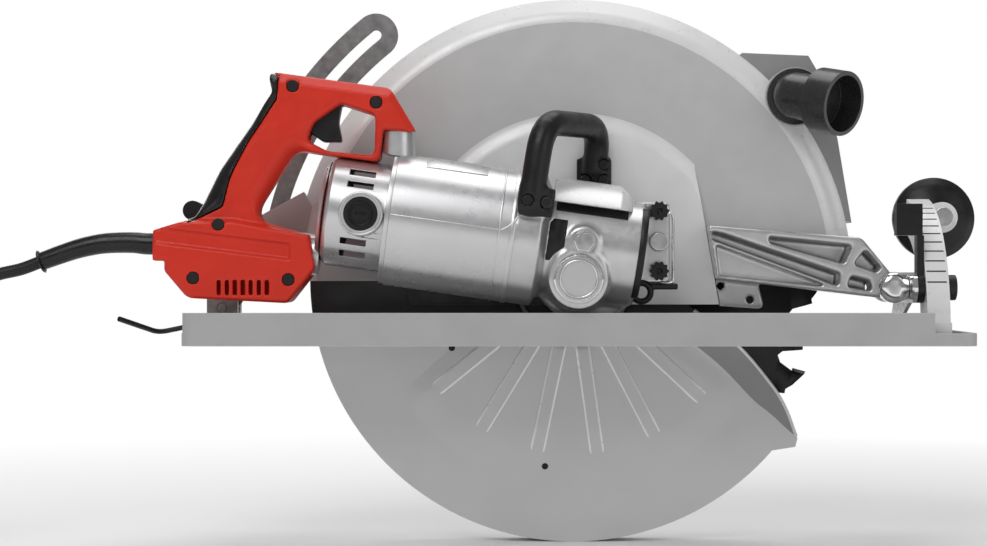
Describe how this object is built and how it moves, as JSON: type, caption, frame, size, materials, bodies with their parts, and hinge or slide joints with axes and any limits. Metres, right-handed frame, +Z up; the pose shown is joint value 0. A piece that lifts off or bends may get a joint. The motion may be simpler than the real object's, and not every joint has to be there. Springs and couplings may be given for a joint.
{
  "type": "worm drive circular saw",
  "caption": "Large worm drive circular saw with a swinging depth link, tilting foot, sprung lower guard, dust nozzle and a coiled power cord.",
  "frame": {"origin": "on the sole of the foot, under the arbor axis, in the plane of the motor axis", "axes": "+X towards the front of the foot, +Y from the motor to the blade, +Z up from the sole"},
  "size_m": [1.0179, 0.2727, 0.4446],
  "materials": {
    "foot_zinc": "satin silver paint",
    "cast_grey": "light grey paint on a casting",
    "bright_alloy": "polished casting",
    "motor_silver": "silver paint",
    "chrome": "bright plating",
    "plain_steel": "ground steel",
    "black_steel": "black oxide",
    "blade_steel": "ground saw plate",
    "carbide": "ground carbide",
    "black_plastic": "textured",
    "red_plastic": "satin moulded",
    "black_rubber": "matt",
    "cord_rubber": "matt jacket",
    "bronze": "machined bronze",
    "copper_core": "varnished winding"
  },
  "bodies": {
    "foot": {"foot": "foot_zinc", "bevel_quadrant": "cast_grey", "bevel_pivot_pins": "plain_steel", "front_knob": "black_plastic", "knob_bolt": "plain_steel", "bevel_stop_screw": "black_steel"},
    "bevel_frame": {"front_knuckle": "chrome", "depth_pins": "plain_steel", "bevel_clamp_bolt": "black_steel", "rear_carrier": "plain_steel"},
    "depth_link": {"depth_link": "plain_steel"},
    "bevel_lever": {"bevel_lever": "black_plastic"},
    "rear_lock_lever": {"rear_lock_lever": "black_steel"},
    "head": {"upper_guard": "cast_grey", "guard_cover": "cast_grey", "guard_screws": "black_steel", "front_arm": "bright_alloy", "depth_clamp_bolt": "plain_steel", "gear_case": "bright_alloy", "gear_fairing": "cast_grey", "oil_cap": "bright_alloy", "oil_plug": "plain_steel", "thumbscrews": "black_plastic", "motor_housing": "motor_silver", "end_bell": "motor_silver", "brush_caps": "black_plastic", "brushes": "black_steel", "field_stator": "copper_core", "motor_bearings": "plain_steel", "arbor_bearings": "plain_steel", "handle_near": "red_plastic", "handle_far": "red_plastic", "grip_pad": "black_rubber", "handle_screws": "black_steel", "switch_module": "black_plastic", "carry_handle": "black_plastic", "carry_screws": "black_steel", "guard_retainer": "plain_steel", "guard_spring": "plain_steel", "strain_relief": "black_rubber", "cord_run": "cord_rubber", "cord_coil": "cord_rubber", "cord_tie": "black_plastic", "power_plug": "black_rubber"},
    "lower_guard": {"lower_guard": "bright_alloy"},
    "blade": {"blade": "blade_steel", "blade_tips": "carbide", "arbor_shaft": "plain_steel", "worm_wheel": "bronze", "inner_flange": "plain_steel", "outer_flange": "plain_steel", "blade_bolt": "black_steel"},
    "armature": {"armature_shaft": "plain_steel", "armature_core": "copper_core", "cooling_fan": "black_plastic"},
    "trigger": {"trigger": "black_plastic"},
    "spindle_lock": {"spindle_lock_pin": "chrome"},
    "depth_lever": {"depth_lever": "black_plastic"},
    "dust_nozzle": {"dust_nozzle": "black_plastic"}
  },
  "joints": [
    {"name": "bevel_tilt", "type": "hinge", "parent": "foot", "child": "bevel_frame", "pos_m": [0, 0.088, 0.0135], "axis": [-1, 0, 0], "range_deg": [0, 45]},
    {"name": "depth_swing", "type": "hinge", "parent": "bevel_frame", "child": "head", "pos_m": [0.2528, 0, 0.045], "axis": [0, 1, 0], "range_deg": [0, 22]},
    {"name": "link_swing", "type": "hinge", "parent": "bevel_frame", "child": "depth_link", "pos_m": [-0.2878, 0.088, 0.028], "axis": [0, 1, 0], "range_deg": [-11, 0]},
    {"name": "bevel_lever_turn", "type": "hinge", "parent": "bevel_frame", "child": "bevel_lever", "pos_m": [0.2528, 0.00155, 0.04497], "axis": [1, 0, 0], "range_deg": [0, 60]},
    {"name": "rear_lever_turn", "type": "hinge", "parent": "foot", "child": "rear_lock_lever", "pos_m": [-0.31, 0.088, 0.0135], "axis": [-1, 0, 0], "range_deg": [0, 60]},
    {"name": "guard_swing", "type": "hinge", "parent": "head", "child": "lower_guard", "pos_m": [0, 0.088, 0.052], "axis": [0, 1, 0], "range_deg": [0, 110], "stiffness_Nm_per_rad": 0.6, "springref_deg": -28.65},
    {"name": "blade_spin", "type": "hinge", "parent": "head", "child": "blade", "pos_m": [0, 0.088, 0.052], "axis": [0, 1, 0], "continuous": true},
    {"name": "armature_spin", "type": "hinge", "parent": "head", "child": "armature", "pos_m": [0.00362, 0, 0.07775], "axis": [0.9903, 0, -0.1392], "continuous": true},
    {"name": "trigger_pull", "type": "slide", "parent": "head", "child": "trigger", "axis": [-1, 0, 0], "range_m": [0, 0.007], "stiffness_N_per_m": 400, "springref_m": -0.004},
    {"name": "spindle_lock_push", "type": "slide", "parent": "head", "child": "spindle_lock", "axis": [0, 1, 0], "range_m": [0, 0.004], "stiffness_N_per_m": 400, "springref_m": -0.004},
    {"name": "depth_lever_turn", "type": "hinge", "parent": "head", "child": "depth_lever", "pos_m": [-0.2592, 0.06, 0.0837], "axis": [0, 1, 0], "range_deg": [0, 40]},
    {"name": "nozzle_turn", "type": "hinge", "parent": "head", "child": "dust_nozzle", "pos_m": [0.18007, 0.06, 0.20003], "axis": [0, 1, 0], "range_deg": [-60, 60]}
  ],
  "couplings": [
    {"joint": "link_swing", "follows": "depth_swing", "ratio": -0.5},
    {"joint": "armature_spin", "follows": "blade_spin", "ratio": -9.5}
  ]
}
